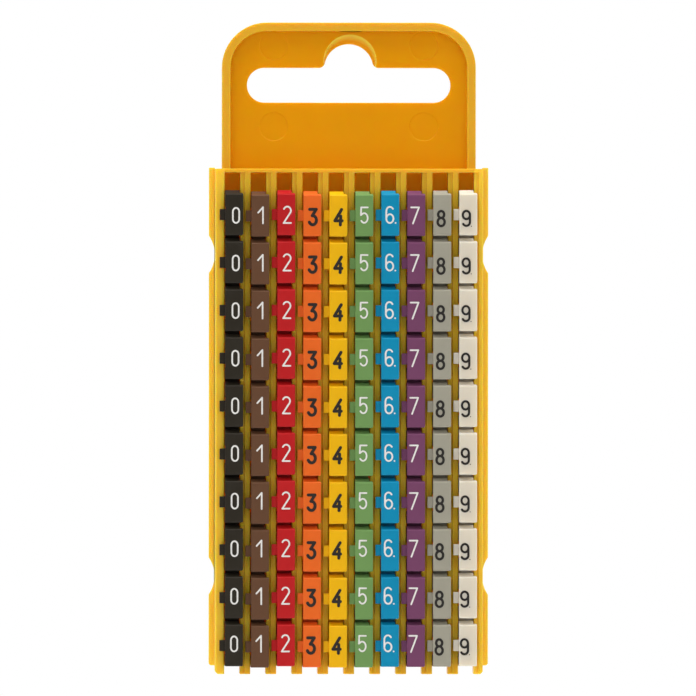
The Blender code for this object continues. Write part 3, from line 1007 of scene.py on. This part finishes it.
def tray_plastic():
    """Return the tray's plastic, with painted light: paler colours laid on its channel floors, raised
    parts, crescent bevel, side walls and flanges, where light comes through its thin and raised
    parts.
    """
    material = plastic("tray_plastic", PLATE_COLOUR, TRAY_ROUGHNESS, TRAY_SPECULAR, TRAY_GLOW)
    tree = material.node_tree
    shader = tree.nodes["Principled BSDF"]
    parts = tree.nodes.new("ShaderNodeSeparateXYZ")
    link(tree, tree.nodes["Texture Coordinate"], "Object", parts, "Vector")
    across = tree.nodes.new("ShaderNodeMath")
    across.operation = "ABSOLUTE"
    tree.links.new(parts.outputs["X"], across.inputs[0])
    aside = across.outputs[0]
    depth = parts.outputs["Y"]

    # Masks of the places where painted light is laid
    front = span(tree, depth, -PLATE_THICKNESS, FRONT_BAND)
    below = span(tree, parts.outputs["Z"], TRAY_TOP, CHANNEL_BAND)
    channels = both(tree, front, below)
    raised = span(tree, depth, -PLATE_THICKNESS, RAISED_BAND)
    sunk = span(tree, depth, -PLATE_THICKNESS, SUNK_BAND)
    middle = span(tree, aside, LEAD_RADIUS, CRESCENT_BAND)
    crescent = both(tree, both(tree, sunk, middle), front)
    side_wall = both(tree, span(tree, aside, INNER_HALF, WALL_BAND), below)
    outer = span(tree, aside, WALL_HALF, WALL_BAND)
    flange = both(tree, outer, span(tree, depth, 0.0, FLANGE_BAND))

    colour = shader.inputs["Base Color"].links[0].from_socket
    # Painted light: the channel floors get a paler, brighter colour for light shining through the
    # thin plate from behind
    colour = painted(tree, channels, colour, CHANNEL_PAINTED_LIGHT_COLOUR)
    # Painted light: the ribs, walls and rim are paler than the plate, for light coming through the
    # raised plastic
    colour = painted(tree, raised, colour, RAISED_PAINTED_LIGHT_COLOUR)
    # Painted light: the crescent bevel round the slot's bump is paler, for light through the thinner
    # plastic there
    colour = painted(tree, crescent, colour, CRESCENT_PAINTED_LIGHT_COLOUR)
    # Painted light: the side walls are paler, for the light falling on them from the sides
    colour = painted(tree, side_wall, colour, SIDE_WALL_PAINTED_LIGHT_COLOUR)
    # Painted light: the flanges are paler, for light coming through them from behind
    colour = painted(tree, flange, colour, FLANGE_PAINTED_LIGHT_COLOUR)
    tree.links.new(colour, shader.inputs["Base Color"])
    shader.inputs["Subsurface Radius"].default_value = TRAY_GLOW_RADIUS
    return material


def ink(name, colour):
    """Return a printed ink with a slightly uneven layer."""
    material = bpy.data.materials.new(name)
    material.use_nodes = True
    tree = material.node_tree
    shader = tree.nodes["Principled BSDF"]
    coordinates = tree.nodes.new("ShaderNodeTexCoord")
    cover = tinted(tree, noise(tree, coordinates, INK_NOISE), colour, INK_DRIFT)
    tree.links.new(cover.outputs[MIX_COLOUR], shader.inputs["Base Color"])
    gloss = ramp(tree, noise(tree, coordinates, INK_GLOSS_NOISE), *INK_ROUGHNESS)
    tree.links.new(gloss.outputs["Result"], shader.inputs["Roughness"])
    shader.inputs["Specular IOR Level"].default_value = INK_SPECULAR
    return material


def dress():
    """Make the tray, the strips and their print around the frame."""
    tray = tray_moulding()
    tray.data.materials.clear()
    tray.data.materials.append(tray_plastic())
    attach(tray, "root")
    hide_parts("tray")

    inks = {name: ink(name, colour) for name, colour in PRINT_COLOURS.items()}
    shared = strip_mesh()
    for index, (slot, colour, glow) in enumerate(STRIP_SLOTS):
        mesh = shared.copy()
        mesh.materials.clear()
        mesh.materials.append(plastic(slot, colour, STRIP_ROUGHNESS, STRIP_SPECULAR, glow))
        mesh.transform(Matrix.Translation(strip_origin(index)))
        strip = bpy.data.objects.new(f"strip_moulding_{index}", mesh)
        bpy.context.scene.collection.objects.link(strip)
        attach(strip, "root")
        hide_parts(f"marker_strip_{index}")

        digits = column_print(index)
        name = "print_white" if index in WHITE_PRINT_COLUMNS else "print_black"
        digits.data.materials.clear()
        digits.data.materials.append(inks[name])
        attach(digits, "root")


def make_camera():
    """Look straight at the tray from the front, as the photograph does."""
    camera = bpy.data.objects.new("camera", bpy.data.cameras.new("camera"))
    camera.data.sensor_width = SENSOR
    camera.data.lens = SENSOR * CAMERA_DISTANCE / (IMAGE_SIZE * MM_PER_PIXEL)
    camera.data.clip_start = CAMERA_NEAR
    away = Vector((math.sin(CAMERA_AZIMUTH), -math.cos(CAMERA_AZIMUTH), 0.0))
    camera.location = CAMERA_TARGET + CAMERA_DISTANCE * away
    camera.rotation_euler = (math.pi / 2, CAMERA_ROLL, CAMERA_AZIMUTH)
    bpy.context.scene.collection.objects.link(camera)
    bpy.context.scene.camera = camera


def make_lamp(name, place, size, power):
    """Add one soft rectangular lamp that faces the tray."""
    lamp = bpy.data.lights.new(name, "AREA")
    lamp.shape = "RECTANGLE"
    lamp.size, lamp.size_y = size
    lamp.energy = power
    item = bpy.data.objects.new(name, lamp)
    item.location = place
    item.rotation_euler = (CAMERA_TARGET - item.location).to_track_quat("-Z", "Y").to_euler()
    bpy.context.scene.collection.objects.link(item)


def make_world():
    """Give the background white and the object a weak even light, dim round the camera."""
    world = bpy.data.worlds.new("studio")
    world.use_nodes = True
    tree = world.node_tree
    background = tree.nodes["Background"]
    background.inputs["Color"].default_value = (1.0, 1.0, 1.0, 1.0)

    path = tree.nodes.new("ShaderNodeLightPath")
    seen = tree.nodes.new("ShaderNodeMath")
    seen.operation = "MAXIMUM"
    tree.links.new(path.outputs["Is Camera Ray"], seen.inputs[0])
    tree.links.new(path.outputs["Is Transmission Ray"], seen.inputs[1])

    coordinates = tree.nodes.new("ShaderNodeTexCoord")
    parts = tree.nodes.new("ShaderNodeSeparateXYZ")
    link(tree, coordinates, "Generated", parts, "Vector")
    front = tree.nodes.new("ShaderNodeMapRange")
    front.interpolation_type = "SMOOTHSTEP"
    front.inputs["From Min"].default_value = FRONT_FULL
    front.inputs["From Max"].default_value = FRONT_END
    front.inputs["To Min"].default_value = FRONT_MIRROR
    front.inputs["To Max"].default_value = 1.0
    link(tree, parts, "Y", front, "Value")
    given = tree.nodes.new("ShaderNodeMix")
    given.data_type = "FLOAT"
    given.inputs[MIX_FIRST_VALUE].default_value = AMBIENT
    tree.links.new(path.outputs["Is Glossy Ray"], given.inputs[MIX_FACTOR])
    tree.links.new(front.outputs["Result"], given.inputs[MIX_SECOND_VALUE])
    strength = tree.nodes.new("ShaderNodeMath")
    strength.operation = "MAXIMUM"
    tree.links.new(seen.outputs[0], strength.inputs[0])
    tree.links.new(given.outputs[MIX_VALUE], strength.inputs[1])
    tree.links.new(strength.outputs[0], background.inputs["Strength"])
    bpy.context.scene.world = world


def make_floor():
    """Lay a small pale floor under the hanging tray."""
    shape = bmesh.new()
    bmesh.ops.create_grid(shape, x_segments=1, y_segments=1, size=FLOOR_HALF)
    bmesh.ops.translate(shape, verts=shape.verts, vec=(0.0, 0.0, FLOOR_LEVEL))
    floor = mesh_object("floor", shape)
    material = bpy.data.materials.new("floor_paper")
    material.use_nodes = True
    shader = material.node_tree.nodes["Principled BSDF"]
    shader.inputs["Base Color"].default_value = FLOOR_COLOUR
    shader.inputs["Roughness"].default_value = FLOOR_ROUGHNESS
    floor.data.materials.append(material)


def make_studio():
    """Set up the camera, the lamps, the world and the floor."""
    make_camera()
    for name, place, size, power in LAMPS:
        make_lamp(name, place, size, power)
    make_world()
    make_floor()
    bpy.context.scene.view_settings.view_transform = "Standard"


dress()
make_studio()
